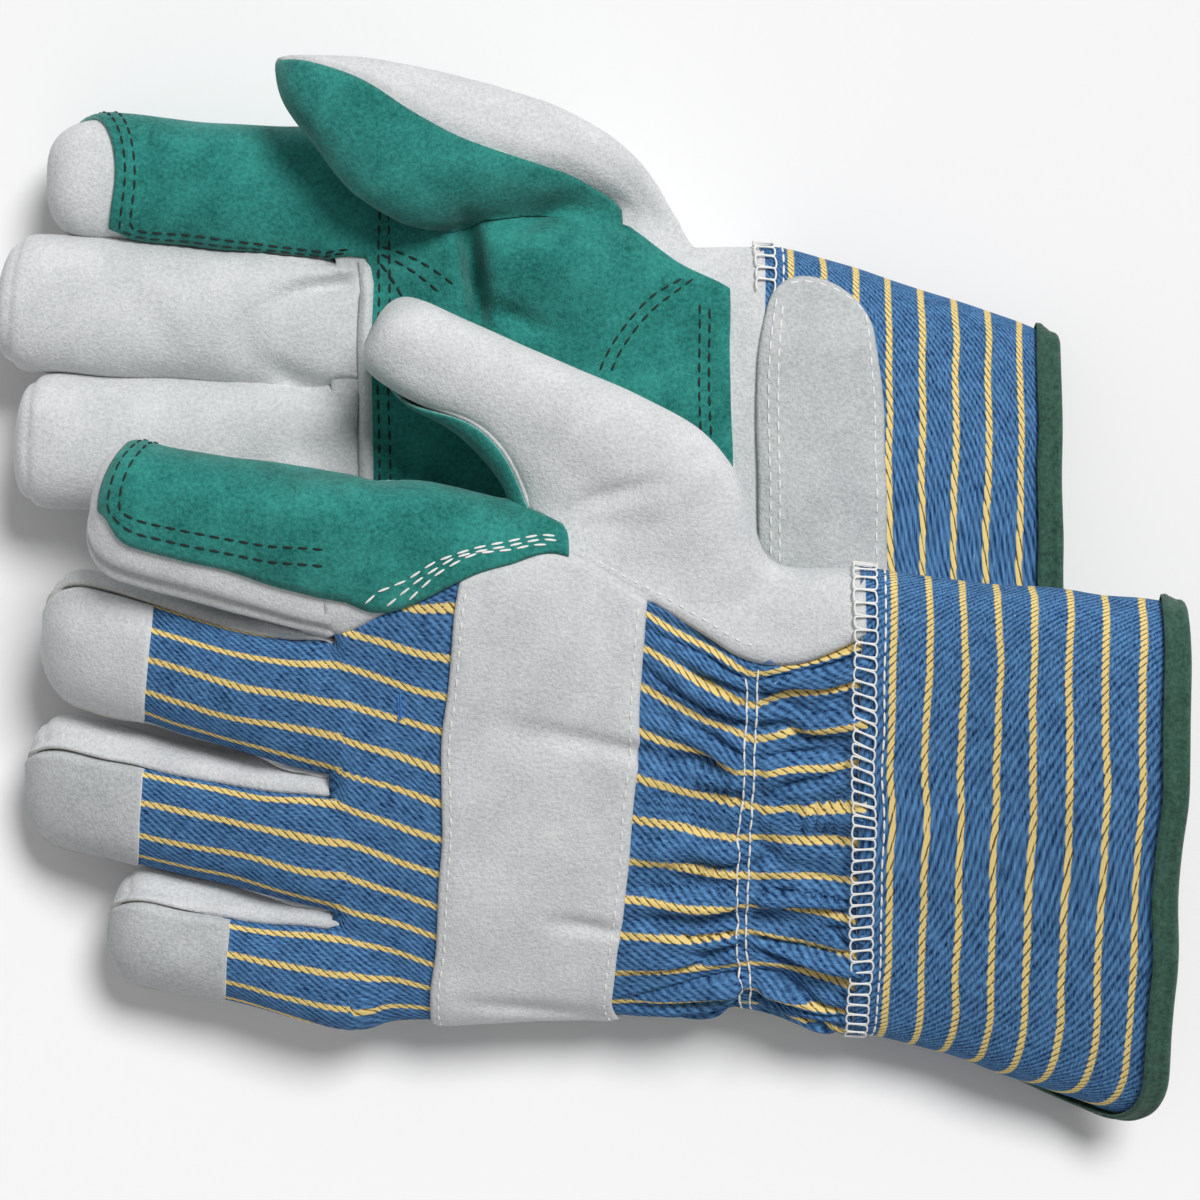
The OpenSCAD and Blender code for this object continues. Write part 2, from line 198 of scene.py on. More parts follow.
def down_finger(f, start, v):
    """Share of finger f's length at v, in even steps from start along it and round its end."""
    straight = FINGER_LEN[f] * (1 - start) - CAP_LEN
    turn_at = straight / (straight + 20)
    turn_from = 1 - CAP_LEN / FINGER_LEN[f]
    if v < turn_at:
        return mix(start, turn_from, v / turn_at)
    return mix(turn_from, 1, math.sin(math.pi / 2 * min(1, (v - turn_at) / (1 - turn_at))) ** 0.7)


def thumb_station(g, t, k):
    path = THUMB_PATH[g]
    i = min(3, max(0, math.floor(t * 4)))
    w = t * 4 - i
    a, b = path[max(0, i - 1)][k], path[i][k]
    c, d = path[i + 1][k], path[min(4, i + 2)][k]
    return b + 0.5 * w * (c - a + w * (2 * a - 5 * b + 4 * c - d + w * (3 * (b - c) + d - a)))


def thumb(g, t, a, o):
    """Thumb at t from root to tip, at angle a: 0 outer edge, 90 back, 180 index side, 270 front.
    The lower glove's empty thumb is pinched to a point along its outer edge."""
    tip_from, blunt, pinch = (0.62, 1.7, 0.6) if g == RIGHT else (0.8, 2.4, 0)
    round_off = max(0, (t - tip_from) / (1 - tip_from))
    cap = max(0, 1 - round_off**blunt) ** (1 / blunt)
    turn = math.radians(thumb_station(g, t, 4))
    across = (math.cos(turn), math.sin(turn))
    half_w = thumb_station(g, t, 3) * THUMB_W
    half_h = mix(THUMB_ROOT_H, THUMB_H / 2, ease(t / 0.3))
    aside = pinch * half_w * (1 - cap)
    centre = (
        thumb_station(g, t, 0) + aside * across[0] - o * round_off,
        thumb_station(g, t, 1) + aside * across[1],
        thumb_station(g, t, 2),
    )
    return section(centre, across, (half_w + o) * cap, (half_h + o) * cap, mix(3.4, 2.3, ease(t / 0.4)), a)


def meshed(name, bm):
    """A new mesh with the faces of bm, which is used up."""
    mesh = bpy.data.meshes.new(name)
    bm.to_mesh(mesh)
    bm.free()
    return mesh


def shown(name, data):
    """A new object in the scene."""
    made = bpy.data.objects.new(name, data)
    bpy.context.scene.collection.objects.link(made)
    return made


def last(tubes, rounding):
    """Closed tubes run together into one smooth form, as a surface to lay cut pieces on."""
    bm = bmesh.new()
    for tube in tubes:
        verts = bmesh.ops.create_grid(bm, x_segments=56, y_segments=64, size=0.5)["verts"]
        for v in verts:
            v.co = tube(360 * (v.co.x + 0.5), v.co.y + 0.5)
        bmesh.ops.remove_doubles(bm, verts=verts, dist=0.02)
    bmesh.ops.holes_fill(bm, edges=[e for e in bm.edges if e.is_boundary])
    bmesh.ops.recalc_face_normals(bm, faces=bm.faces)
    form = shown("last", meshed("last", bm))
    remesh = form.modifiers.new("run_together", "REMESH")
    remesh.mode = "VOXEL"
    remesh.voxel_size = 1.3
    smooth = form.modifiers.new("soften", "SMOOTH")
    smooth.factor = 0.5
    smooth.iterations = rounding
    fine = form.modifiers.new("fine", "SUBSURF")
    fine.levels = fine.render_levels = 1
    tree = BVHTree.FromObject(form, bpy.context.evaluated_depsgraph_get())
    bpy.data.objects.remove(form)
    return tree


FINGER_LAST, THUMB_LAST = [], []
for g in (RIGHT, LEFT):
    palm = lambda a, v: hand(g, mix(-16, HAND_LEN, v), a, 0)
    tubes = [lambda a, v, f=f: finger(g, f, mix(-0.12, 1, v), a, 0) for f in range(4)]
    FINGER_LAST.append(last([palm] + tubes, 9))
    THUMB_LAST.append(last([palm, lambda a, v: thumb(g, mix(-0.12, 1, v), a, 0)], 22))


def pressed(tree, form, o, share):
    """Point of form at height o, drawn on to the last by share. What lies deep inside the last, or
    faces another way than the last does there, stays where it is."""
    bare, raised = form(0), form(o)
    spot, normal, _, moved = tree.find_nearest(bare)
    if normal.dot(bare - spot) < 0:
        facing = normal.dot((form(1) - bare).normalized())
        share *= ease((5 - moved) / 2) * ease((facing - 0.1) / 0.4)
    return raised.lerp(spot + normal * o, share)


def on_hand(g, d, a, o):
    to_fingers = ease((d - 76) / 12)
    form = lambda h: hand(g, d, a, h)
    p = pressed(THUMB_LAST[g], form, o, 1) if to_fingers < 1 else Vector()
    if to_fingers == 0:
        return p
    return p.lerp(pressed(FINGER_LAST[g], form, o, 1), to_fingers)


def on_finger(g, f, t, a, o):
    share = 1 - ease((t - 0.12) / 0.25)
    form = lambda h: finger(g, f, t, a, h)
    return pressed(FINGER_LAST[g], form, o, share) if share else form(o)


def on_thumb(g, t, a, o):
    """From a foot on the side of the hand, round the opening, up the root and along the thumb."""
    share = 1 - ease((t - 0.35) / 0.3)
    up = ease(t / THUMB_FOOT_TO)
    turn = math.radians(a)
    foot_d = THUMB_AT - THUMB_FOOT_D * math.cos(turn)
    foot_a = THUMB_FOOT_A * math.sin(turn)
    form = lambda h: thumb(g, t, a, h)
    if up < 1:
        form = lambda h: on_hand(g, foot_d, foot_a, h).lerp(thumb(g, t, a, h), up)
    return pressed(THUMB_LAST[g], form, o, share) if share else form(o)


# Creases on the upper side of each glove: from x, y, to x, y, depth and width
CREASES = (
    ((-60, 55, -58, 35, 9, 2), (-52, 52, -40, 60, 2.6, 1.9), (-56, 38, -44, 33, 2, 2),
     (-58, 37, -64, 24, 0.8, 2), (-94, 41, -84, 44, 4.5, 1.6), (-102, 38, -92, 42, 2, 1.8),
     (-84, 47, -76, 42, 1.2, 1.8),
     (-107, 36, -105, 24, 1.3, 3), (-101, 26, -86, 18, 2.6, 2), (-128, 40, -118, 27, 0.9, 4),
     (-94, 8, -84, 11, 3.4, 1.6), (-110, 2, -98, 8, 1.4, 2.5), (-124, 10, -116, -4, 0.9, 4)),
    ((-72, 22, -43, 16.8, 2.4, 1.4), (-48, 17.4, -30, 11, 2.4, 1.6), (-58, 64, -40, 71, 2.8, 1.7),
     (-57, 62, -43, 62, 1.4, 2), (-80, -41, -48, -46, 1.6, 2.2), (-62, -22, -46, -23.5, 1.8, 1.6),
     (-46, 60, -30, 66, 0.6, 2.5), (-60, 74, -44, 62, 0.6, 3), (-30, 44, -16, 52, 0.8, 2.5),
     (-164, 2, -150, 4, 0.9, 2), (-166, 30, -156, 36, 0.8, 2.5), (-140, -30, -132, -26, 0.8, 2.2)),
)
# Which side of the hand is up: the right glove lies palm up, the left one back up
FACE_UP = (-1, 1)
# Soft crumples all over, long and short: their length and height, the same in each run
CRUMPLES = ((26, 0.9), (12, 0.5))
noise.seed_set(2)


def creased(g, p):
    """How deep the creases are at p."""
    depth = 0
    for x0, y0, x1, y1, deep, width in CREASES[g]:
        run = Vector((x1 - x0, y1 - y0))
        off = Vector((p.x - x0, p.y - y0))
        along = min(1, max(0, off.dot(run) / run.length_squared))
        depth += deep * bump((off - run * along).length, width) * (0.3 + 0.7 * math.sin(math.pi * along))
    return depth


def lay(g, p):
    """A point of glove g, softly crumpled, where the glove lies on the table, in metres."""
    apart = Vector((0, 0, 7 * g))
    if p.z * FACE_UP[g] > 0:
        p = p - Vector((0, 0, FACE_UP[g] * creased(g, p)))
    crumpled = p.copy()
    for long, high in CRUMPLES:
        crumpled += noise.noise_vector(p / long + apart) * high
    if g == LEFT:
        lying = ROLL @ crumpled + SEAT_AT[LEFT]
    else:
        lying = Vector((crumpled.x, crumpled.y, -crumpled.z)) + SEAT_AT[RIGHT]
    lying.z = max(lying.z, TABLE_GAP)
    return lying / 1000


# Grey palm leather
# The palm, the whole index finger, the fronts of the other fingers and the thumb are cut from
# grey split cowhide. Its flesh side is out: a short matt nap with soft pale and dark blotches.


def linear(code):
    """Linear RGBA of an sRGB hex colour."""
    parts = [int(code[k : k + 2], 16) / 255 for k in (1, 3, 5)]
    return [c / 12.92 if c <= 0.04045 else ((c + 0.055) / 1.055) ** 2.4 for c in parts] + [1]


def add(tree, kind, inputs=None, **settings):
    """A new node with its settings, and its inputs set or linked."""
    made = tree.nodes.new(kind)
    for key, value in settings.items():
        setattr(made, key, value)
    for key, value in (inputs or {}).items():
        if isinstance(value, bpy.types.NodeSocket):
            tree.links.new(value, made.inputs[key])
        else:
            made.inputs[key].default_value = value
    return made


def maths(tree, operation, *values):
    return add(tree, "ShaderNodeMath", dict(enumerate(values)), operation=operation).outputs[0]


def speckle(tree, at, scale, detail, roughness=0.5):
    inputs = {"Vector": at, "Scale": scale, "Detail": detail, "Roughness": roughness}
    return add(tree, "ShaderNodeTexNoise", inputs).outputs["Fac"]


def remap(tree, value, low, high, at_low=0, at_high=1):
    inputs = {"Value": value, "From Min": low, "From Max": high, "To Min": at_low, "To Max": at_high}
    return add(tree, "ShaderNodeMapRange", inputs).outputs[0]


def tinted(tree, share, dark, light):
    return add(tree, "ShaderNodeMix", {0: share, 6: dark, 7: light}, data_type="RGBA").outputs[2]


def blank(name, roughness, shine=0.5):
    """A new plain material: itself, its nodes and the inputs of its shader."""
    material = bpy.data.materials.new(name)
    material.use_nodes = True
    tree = material.node_tree
    face = tree.nodes["Principled BSDF"].inputs
    face["Roughness"].default_value = roughness
    face["Specular IOR Level"].default_value = shine
    return material, tree, face


def dress(tree, face, colour, strength, depth_mm, height):
    """Gives a shader its colour and its relief."""
    inputs = {"Strength": strength, "Distance": depth_mm / 1000, "Height": height}
    tree.links.new(colour, face["Base Color"])
    tree.links.new(add(tree, "ShaderNodeBump", inputs).outputs[0], face["Normal"])


def napped(name, dark, light, blotch_mm, nap_mm, roughness, depth_mm, blotchy=0.7):
    """A matt napped face: blotches of two colours and short fibres that catch the light. The fibres
    are drawn coarser than real ones, so that they show."""
    material, tree, face = blank(name, roughness, 0.25)
    at = add(tree, "ShaderNodeTexCoord").outputs["Object"]
    blotch = speckle(tree, at, 1000 / blotch_mm, 4, 0.65)
    nap = speckle(tree, at, 1000 / nap_mm, 3, 0.7)
    tone = maths(tree, "MULTIPLY_ADD", nap, 2 - blotchy, maths(tree, "MULTIPLY", blotch, blotchy))
    tint = tinted(tree, remap(tree, tone, 0.7, 1.3), linear(dark), linear(light))
    dress(tree, face, tint, 0.6, depth_mm, nap)
    face["Sheen Weight"].default_value = 0.15
    return material


# Brushed split leather is pale and dull, with a soft sheen along the nap. Its cut edges are paler and the
# inside is yellower.
# A darker copy of it is painted shade on the ring and little fingertips and on the pulse patch.
GREY_LEATHER = napped("grey_split_leather", "#C0C3C5", "#E3E4E4", 12, 0.7, 0.9, 0.5)
GREY_EDGE = napped("grey_leather_cut_edge", "#CFCFCB", "#EFEEEA", 4, 0.7, 0.95, 0.4)
# A darker copy of the grey leather: painted shade for the ring and little fingertips and the pulse patch
SHADED_LEATHER = napped("painted_shade_split_leather", "#A9ADAF", "#D2D4D4", 12, 0.7, 0.9, 0.5)
FLESH_SIDE = napped("leather_inside", "#B9B6AE", "#D2CFC7", 9, 0.8, 0.95, 0.4)

# Shares of the thumb's length at two points on its path, which drape works out for the thumb's pieces but
# doesn't use
BEND = (0.02, 0.36)
# Faces of the finished pieces, to sew stitches on
SKINS = {}


def drape(g, node, cols, rows, place, out, thick, finish, puff=None, flat=None, keep=None,
          clamp=0, bends=False):
    """A cut piece laid over the form, which stands for its CAD node and rides on its glove, or with
    bends is fixed where it lies. place(u, v, o) says where on the form the flat cut's points go at height o,
    puff(u, v) how far they swell, flat(u, v) where they lie on the cloth, keep(u, v) what isn't cut
    away, clamp how far its walls thin out in folds, and finish is its face, cut edge and inside."""
    name, glove = SIDES[g] + "_" + node, SIDES[g] + "_glove"
    bm = bmesh.new()
    bmesh.ops.create_grid(bm, x_segments=cols, y_segments=rows, size=0.5)
    cloth = bm.loops.layers.uv.new("cloth")
    at = {v: (v.co.x + 0.5, v.co.y + 0.5) for v in bm.verts}
    for v, (s, t) in at.items():
        v.co = lay(g, place(s, t, out))
    for face in bm.faces:
        for corner in face.loops:
            s, t = at[corner.vert]
            corner[cloth].uv = flat(s, t) if flat else (s * 50, t * 50)
    heart = lay(g, place(0.5, 0.5, out))
    outward = lay(g, place(0.5, 0.5, out + 1)) - heart
    bm.normal_update()
    middle = min(bm.faces, key=lambda f: (f.calc_center_median() - heart).length)
    if middle.normal.dot(outward) < 0:
        bmesh.ops.reverse_faces(bm, faces=bm.faces)
    inner = [v for v in bm.verts if not v.is_boundary]
    for _ in range(2):
        bmesh.ops.smooth_vert(bm, verts=inner, factor=0.5, use_axis_x=True, use_axis_y=True, use_axis_z=True)
    if puff:
        bm.normal_update()
        swell = {v: v.normal * (puff(*at[v]) / 1000) for v in bm.verts}
        for v, move in swell.items():
            v.co += move
            v.co.z = max(v.co.z, TABLE_GAP / 1000)
    if keep:
        lost = [f for f in bm.faces if not keep(*(sum(at[v][k] for v in f.verts) / 4 for k in (0, 1)))]
        bmesh.ops.delete(bm, geom=lost, context="FACES")
    bmesh.ops.remove_doubles(bm, verts=bm.verts, dist=0.00025)
    bmesh.ops.dissolve_degenerate(bm, edges=bm.edges, dist=0.00001)
    SKINS[name] = (BVHTree.FromBMesh(bm), g, place, out)
    mesh = meshed(name, bm)
    mesh.shade_smooth()
    for material in finish:
        mesh.materials.append(material)
    piece = shown(name, mesh)
    wall = piece.modifiers.new("thickness", "SOLIDIFY")
    wall.thickness = thick / 1000
    wall.offset = -1
    wall.material_offset_rim = 1
    wall.material_offset = 2
    wall.thickness_clamp = clamp
    if bends:
        root, along = (lay(g, Vector([thumb_station(g, t, k) for k in range(3)])) for t in BEND)
        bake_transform(piece)
    else:
        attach(piece, glove)
    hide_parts(name)


def groove(edge):
    """Swell beside a sewn seam, edge millimetres from it."""
    return 0.25 * bump(edge - 3, 1.8) - 0.7 * bump(edge, 1.0)


def seam_lip(edge, v, high):
    """The front of a finger stands up in a lip where it is sewn round the fingertip."""
    tip = ease((v - 0.5) / 0.2)
    return groove(edge) * (1 - tip) + tip * high * (bump(edge - 0.4, 1.1) - 0.4 * bump(edge - 3.2, 1.2))


def shut(v):
    """Fades a seam out at the middle of a fingertip, where its ends meet."""
    return 1 - ease((v - 0.9) / 0.1)


def sunk(t):
    """How far the root of a finger lies under the edge of the hand piece that it is sewn to."""
    return 0.7 * (1 - ease((t + 0.06) / 0.09))


LEATHER_T = 1.3
# Angle at which the leather meets the canvas on the back of the hand, from wrist to knuckles
WRAP = ((-2, 46), (12, 56), (23, 54), (32, 47.5), (44, 37), (60, 27), (70, 38), (80, 49), (90, 58),
        (100, 67), (108, 70))
# The palm piece: where it starts and ends, and its width laid flat
PALM_LEATHER_FROM, PALM_LEATHER_TO, PALM_LEATHER_W = -1, 106, 130
# The opening for the thumb: half length, and half angle towards the palm and towards the back
THUMB_HOLE_D, THUMB_HOLE_A = 21, (31, 24)
# and how deep leather may lie under the thumb's root before it is cut away
LEATHER_UNDER = 3
# Shares of a finger's length by which it starts inside the hand: index, the other fronts
INDEX_START, FRONT_START = -0.08, -0.06
# Width of the index finger's leather and of the other fronts, laid flat
INDEX_FLAT, FRONT_FLAT = 76, 50
# The index finger's one seam runs down this angle
INDEX_SEAM = 132
# Angle at which each finger's back meets its front, on the thumb side and on the other side
SEAM_AT = (0, 22.5, 45, 45)
FAR_SEAM = 157.5
# How far the lying fingers of each glove swell towards each other
FULLER = (1.6, 0)
# how high the seam stands round their ends, and how deep it is folded in behind them
LIP = (0.1, 0.9)
FOLDED = (0.6, 0.4)
GREY = (GREY_LEATHER, GREY_EDGE, FLESH_SIDE)
# Faces of the darker leather copy, which is painted shade
SHADED = (SHADED_LEATHER, GREY_EDGE, FLESH_SIDE)


def thumb_hole(g, d, a, under):
    """True where the palm is cut away for the thumb: deeper than under below the thumb's root."""
    if ((d - THUMB_AT) / THUMB_HOLE_D) ** 2 + ((a - 360) / THUMB_HOLE_A[a > 360]) ** 2 > 1:
        return False
    p = hand(g, d, a, 0)
    spot, normal, _, depth = THUMB_LAST[g].find_nearest(p)
    return depth > under and normal.dot(p - spot) < 0


for g in (RIGHT, LEFT):

    def palm_at(u, v):
        d = mix(PALM_LEATHER_FROM, PALM_LEATHER_TO, v)
        return d, mix(180, 360 + follow(WRAP, d), u)

    drape(
        g, "palm_leather", 130, 96, lambda u, v, o: on_hand(g, *palm_at(u, v), o), 0,
        LEATHER_T, GREY,
        puff=lambda u, v: groove(u * PALM_LEATHER_W) + groove((1 - u) * PALM_LEATHER_W),
        keep=lambda u, v: not thumb_hole(g, *palm_at(u, v), LEATHER_UNDER),
    )

    def index_at(v):
        return down_finger(INDEX, INDEX_START, v)

    drape(
        g, "index_leather", 84, 70,
        lambda u, v, o: on_finger(g, INDEX, index_at(v), INDEX_SEAM + 360 * u, o), 0, LEATHER_T, GREY,
        puff=lambda u, v: 1.8 * shut(v) * groove(min(u, 1 - u) * INDEX_FLAT) - 4 * sunk(index_at(v)),
    )
    for f in (MIDDLE, RING, LITTLE):

        def front_at(v):
            return down_finger(f, FRONT_START, v)

        drape(
            g, FINGERS[f] + "_front", 60, 76,
            lambda u, v, o: on_finger(g, f, front_at(v), mix(FAR_SEAM, 360 + SEAM_AT[f], u), o),
            FULLER[g], LEATHER_T, GREY,
            puff=lambda u, v: shut(v) * seam_lip(min(u, 1 - u) * FRONT_FLAT, v, LIP[g]) - sunk(front_at(v))
            - FOLDED[g] * bump((1 - front_at(v)) * FINGER_LEN[f] - 3, 0.7),
        )

# Green suede patches
# A second layer of green suede is sewn over the palm, round the index finger and along the
# front of the thumb, where the glove wears. It is matt, its dye uneven and its cut edges paler.
GREEN_SUEDE = napped("green_suede", "#0F5F59", "#39998F", 10, 0.8, 0.95, 0.5, 0.95)
GREEN_EDGE = napped("green_suede_cut_edge", "#3E8F86", "#8FC2B9", 3, 0.7, 0.95, 0.4)
GREEN = (GREEN_SUEDE, GREEN_EDGE, FLESH_SIDE)
PATCH_T = 1.2
# Gap that keeps the faces of two layers apart
LAYER_GAP = 0.1
# The palm patch: where it starts and ends, and its length and width laid flat
PALM_FROM, PALM_TO = 7.5, 97
PALM_FLAT_L, PALM_FLAT_W = 85, 90
# Angle of its edge on the little-finger side, and on the thumb side from wrist to knuckles
PALM_FAR_EDGE = 198
PALM_EDGE = ((7, 316), (20, 329), (30, 338), (60, 342), (75, 350), (97, 345))
# How deep it may lie under the thumb's root before it is cut away
PATCH_UNDER = 6.5
# The index patch: where it starts on the hand, and its length and width laid flat
INDEX_FROM = 58
INDEX_PATCH_L, INDEX_PATCH_W = 100, 64
# Width of the thumb's back and of its patch, laid flat
THUMB_BACK_W, THUMB_PATCH_W = 56, 34


def palm_patch_at(u, v):
    d = mix(PALM_FROM, PALM_TO, v)
    return d, mix(PALM_FAR_EDGE, follow(PALM_EDGE, d), u)


def index_patch_at(g, u, v, o):
    """From the hand, between thumb and index, out along the finger to just short of its tip."""
    end = FINGER_LEN[INDEX] * mix(0.95, 0.76, ease(1.4 * u - 0.1))
    run = mix(INDEX_FROM - HAND_LEN, end, v)
    corner = ease((v - 0.9) / 0.1) ** 2
    on_back, on_front = mix(97, 82, corner), mix(-152, -138, corner)
    d, t = HAND_LEN + run, run / FINGER_LEN[INDEX]
    out_along = ease((run + 15) / 13)
    p = Vector()
    if out_along < 1:
        p += on_hand(g, d, mix(follow(WRAP, d), -70, u), o) * (1 - out_along)
    if out_along > 0:
        p += on_finger(g, INDEX, t, mix(on_back, on_front, u), o) * out_along
    return p


# Angle of the seam between the grey back and the green front of the thumb, root to tip
THUMB_SEAM = ((-0.1, 305), (0.1, 296), (0.25, 280), (0.5, 280), (0.75, 297), (1, 315))
# and of the seam on the index side, which shows as a green edge above the crotch
THUMB_INNER_SEAM = (
    ((-0.1, 170), (0.24, 166), (0.36, 138), (0.5, 122), (0.68, 140), (0.85, 164), (1, 175)),
    ((-0.1, 170), (0.24, 166), (0.36, 138), (0.5, 122), (0.66, 142), (0.8, 186), (0.9, 204), (1, 205)),
)


def thumb_front_at(g, t, u):
    return t, mix(follow(THUMB_INNER_SEAM[g], t), follow(THUMB_SEAM, t), u)


def thumb_back_at(g, t, u):
    return t, mix(follow(THUMB_SEAM, t) - 368, follow(THUMB_INNER_SEAM[g], t) + 5, u)


def rooted(v):
    """How deep the root of the thumb lies under the hand piece that it is sewn to."""
    return 1.8 * (1 - ease(v / 0.06))


def rolled(edge):
    """Cut edge of a patch, pressed down by its stitches."""
    return -0.45 * bump(edge, 0.9) + 0.15 * bump(edge - 3, 2) - 0.15 * bump(edge - 1.9, 0.6)


for g in (RIGHT, LEFT):
    drape(
        g, "palm_patch", 130, 116, lambda u, v, o: on_hand(g, *palm_patch_at(u, v), o),
        PATCH_T, PATCH_T, GREEN,
        puff=lambda u, v: rolled(v * PALM_FLAT_L) + rolled((1 - v) * PALM_FLAT_L) + rolled(u * PALM_FLAT_W),
        keep=lambda u, v: not thumb_hole(g, *palm_patch_at(u, v), PATCH_UNDER),
    )
    drape(
        g, "index_patch", 64, 104, lambda u, v, o: index_patch_at(g, u, v, o),
        PATCH_T + LAYER_GAP, PATCH_T, GREEN,
        puff=lambda u, v: rolled(u * INDEX_PATCH_W) + rolled((1 - u) * INDEX_PATCH_W)
        + rolled((1 - v) * INDEX_PATCH_L),
    )
    drape(
        g, "thumb_back", 56, 84,
        lambda u, v, o: on_thumb(g, *thumb_back_at(g, v, u), o - rooted(v)), LAYER_GAP, LEATHER_T,
        (GREY_LEATHER, GREY_LEATHER, FLESH_SIDE),
        puff=lambda u, v: shut(v)
        * (0.4 * bump(u * THUMB_BACK_W - 4.5, 1.8) - 0.5 * bump(min(u, 1 - u) * THUMB_BACK_W, 2)), bends=True,
    )
    drape(
        g, "thumb_front", 32, 64,
        lambda u, v, o: on_thumb(g, *thumb_front_at(g, mix(0.25, 1, v), u), o), -LAYER_GAP, LEATHER_T, GREY,
        puff=lambda u, v: -1.2 * (1 - ease(v / 0.15)), bends=True,
    )
    # The right patch's root is cut back where it runs into the fold beside the palm
    drape(
        g, "thumb_patch", 44, 88,
        lambda u, v, o: on_thumb(g, *thumb_front_at(g, 0.995 * v, mix(0.01, 0.99, u)), o),
        PATCH_T + LAYER_GAP, PATCH_T, (GREEN_SUEDE, GREEN_EDGE if g == LEFT else GREEN_SUEDE, GREEN_SUEDE),
        puff=lambda u, v: shut(v) * rolled(min(u, 1 - u) * THUMB_PATCH_W) - 0.9 * (1 - ease(v / 0.07))
        - 1.1 * ease((v - 0.88) / 0.12),
        keep=lambda u, v: g == LEFT or v > 0.155 * bump(u - 0.6, 0.15), clamp=1, bends=True,
    )

# Striped canvas back
# The back of the hand and of three fingers is cotton twill, blue with a yellow stripe woven in
# along it. Elastic sewn behind the wrist gathers it into puckers.
CANVAS_T = 0.9
STRIPE_PITCH = 7.4
STRIPE_HALF = 0.7
# Flat cloth for each millimetre of the gathered back, which sets its stripes
FULLNESS = 0.98
# Half the distance between the two rows of stitches along the elastic
ROW_HALF = 1
# Spacing of the twill's ribs, coarser than the real one's so that they show, and their lean
TWILL_MM, TWILL_LEAN = 1.2, (0.6, 0.8, 0)
FLOAT_MM, YARN_MM = 1.5, 0.45
# The back of the hand: where it starts and ends, its width laid flat and the angle of its far edge
BACK_FROM, BACK_TO, BACK_W, BACK_FAR_EDGE = -1.5, 107, 120, 187
# The backs of the fingers: how far they start inside the hand and run in under the tips, as
# shares of the finger's length, and their width laid flat
BACK_START, UNDER_TIP, FINGER_BACK_W = -0.07, 0.03, 34
# Heights of the fingers' backs and of the tips over the form of the hand
FINGER_BACK_OVER, TIP_OVER = -0.06, 0.6


def striped_twill(name):
    """Slanting ribs of long flecked floats; the same ribs cut the yellow stripes into twists."""
    material, tree, face = blank(name, 0.9, 0.2)
    cloth = add(tree, "ShaderNodeUVMap", uv_map="cloth").outputs[0]
    slub = speckle(tree, cloth, 1 / 9, 2)
    yarn = {0: cloth, 1: (1 / FLOAT_MM, 1 / YARN_MM, 0)}
    floats = add(tree, "ShaderNodeVectorMath", yarn, operation="MULTIPLY").outputs[0]
    fluff = speckle(tree, floats, 1, 2, 0.7)
    fade = speckle(tree, cloth, 1 / 4, 3)
    wave = [c * 2 * math.pi / TWILL_MM for c in TWILL_LEAN]
    slant = add(tree, "ShaderNodeVectorMath", {0: cloth, 1: wave}, operation="DOT_PRODUCT").outputs["Value"]
    rib = maths(tree, "SINE", slant)
    across = add(tree, "ShaderNodeSeparateXYZ", {0: cloth}).outputs["Y"]
    wander = maths(tree, "MULTIPLY_ADD", slub, 0.5, across)
    ragged = maths(tree, "MULTIPLY_ADD", rib, 0.12, wander)
    phase = maths(tree, "FRACT", maths(tree, "MULTIPLY", ragged, 1 / STRIPE_PITCH))
    aside = maths(tree, "ABSOLUTE", maths(tree, "SUBTRACT", phase, 0.5))
    edge = [(STRIPE_HALF + k) / STRIPE_PITCH for k in (-0.12, 0.12)]
    stripe = remap(tree, aside, *edge, 1, 0)
    shade = maths(tree, "MULTIPLY_ADD", rib, 0.14, fluff)
    worn = maths(tree, "MULTIPLY_ADD", fade, 0.35, shade)
    blue = tinted(tree, remap(tree, worn, 0.42, 0.96), linear("#0F3058"), linear("#6195C9"))
    flecked = tinted(tree, remap(tree, fluff, 0.72, 0.8), blue, linear("#B9CCE0"))
    tick = maths(tree, "MULTIPLY_ADD", fluff, 1.4, rib)
    yellow = tinted(tree, remap(tree, tick, -0.25, 0.1, 1, 0), linear("#F1D68A"), linear("#6B5730"))
    dress(tree, face, tinted(tree, stripe, flecked, yellow), 0.7, 0.3, shade)
    return material


# Cotton twill is dull and flecked, and its raw edges fray to a softer blue
TWILL = striped_twill("striped_cotton_twill")
RAW_CANVAS = napped("canvas_raw_edge", "#24487B", "#6E8FB8", 2, 0.6, 0.95, 0.3)
CANVAS = (TWILL, RAW_CANVAS, RAW_CANVAS)


def girth(half_w, half_h, square, a):
    """Millimetres round a section from its top towards the thumb side, to angle a."""
    a = math.radians(a)
    c, s = math.cos(a), math.sin(a)
    return half_w * bend(c, 2 / square) + math.copysign(half_h * (1 - bend(s, 2 / square)), c)


def back_at(u, v):
    d = mix(BACK_FROM, BACK_TO, v)
    return d, mix(BACK_FAR_EDGE, follow(WRAP, d) - 1, u)


# Slope of the stripes across the hand, by distance from its middle line: beside the fingers,
# between strap and elastic, and between elastic and wrist seam
LEAN_FINGERS = ((-50, 0.42), (-10, 0.36), (20, 0.27), (38, 0.2), (50, 0))
LEAN_STRAP = ((-50, -0.2), (-25, 0.05), (10, 0.3), (30, 0.55), (46, 0.65))
LEAN_WRIST = ((-50, 0.34), (-2, 0), (46, -0.34))


def stripe_shift(d, y):
    """How far the stripes have slid sideways at d, y as the gathers draw them together."""
    if d > 60:
        return -follow(LEAN_FINGERS, y) * (d - HAND_LEN)
    lean = LEAN_STRAP if d > ELASTIC_MID else LEAN_WRIST
    crowd = 1.6 * bump(d - ELASTIC_MID, 16) * noise.noise(Vector((y / 8, d / 13, 4)))
    return crowd - follow(lean, y) * (d - ELASTIC_MID)


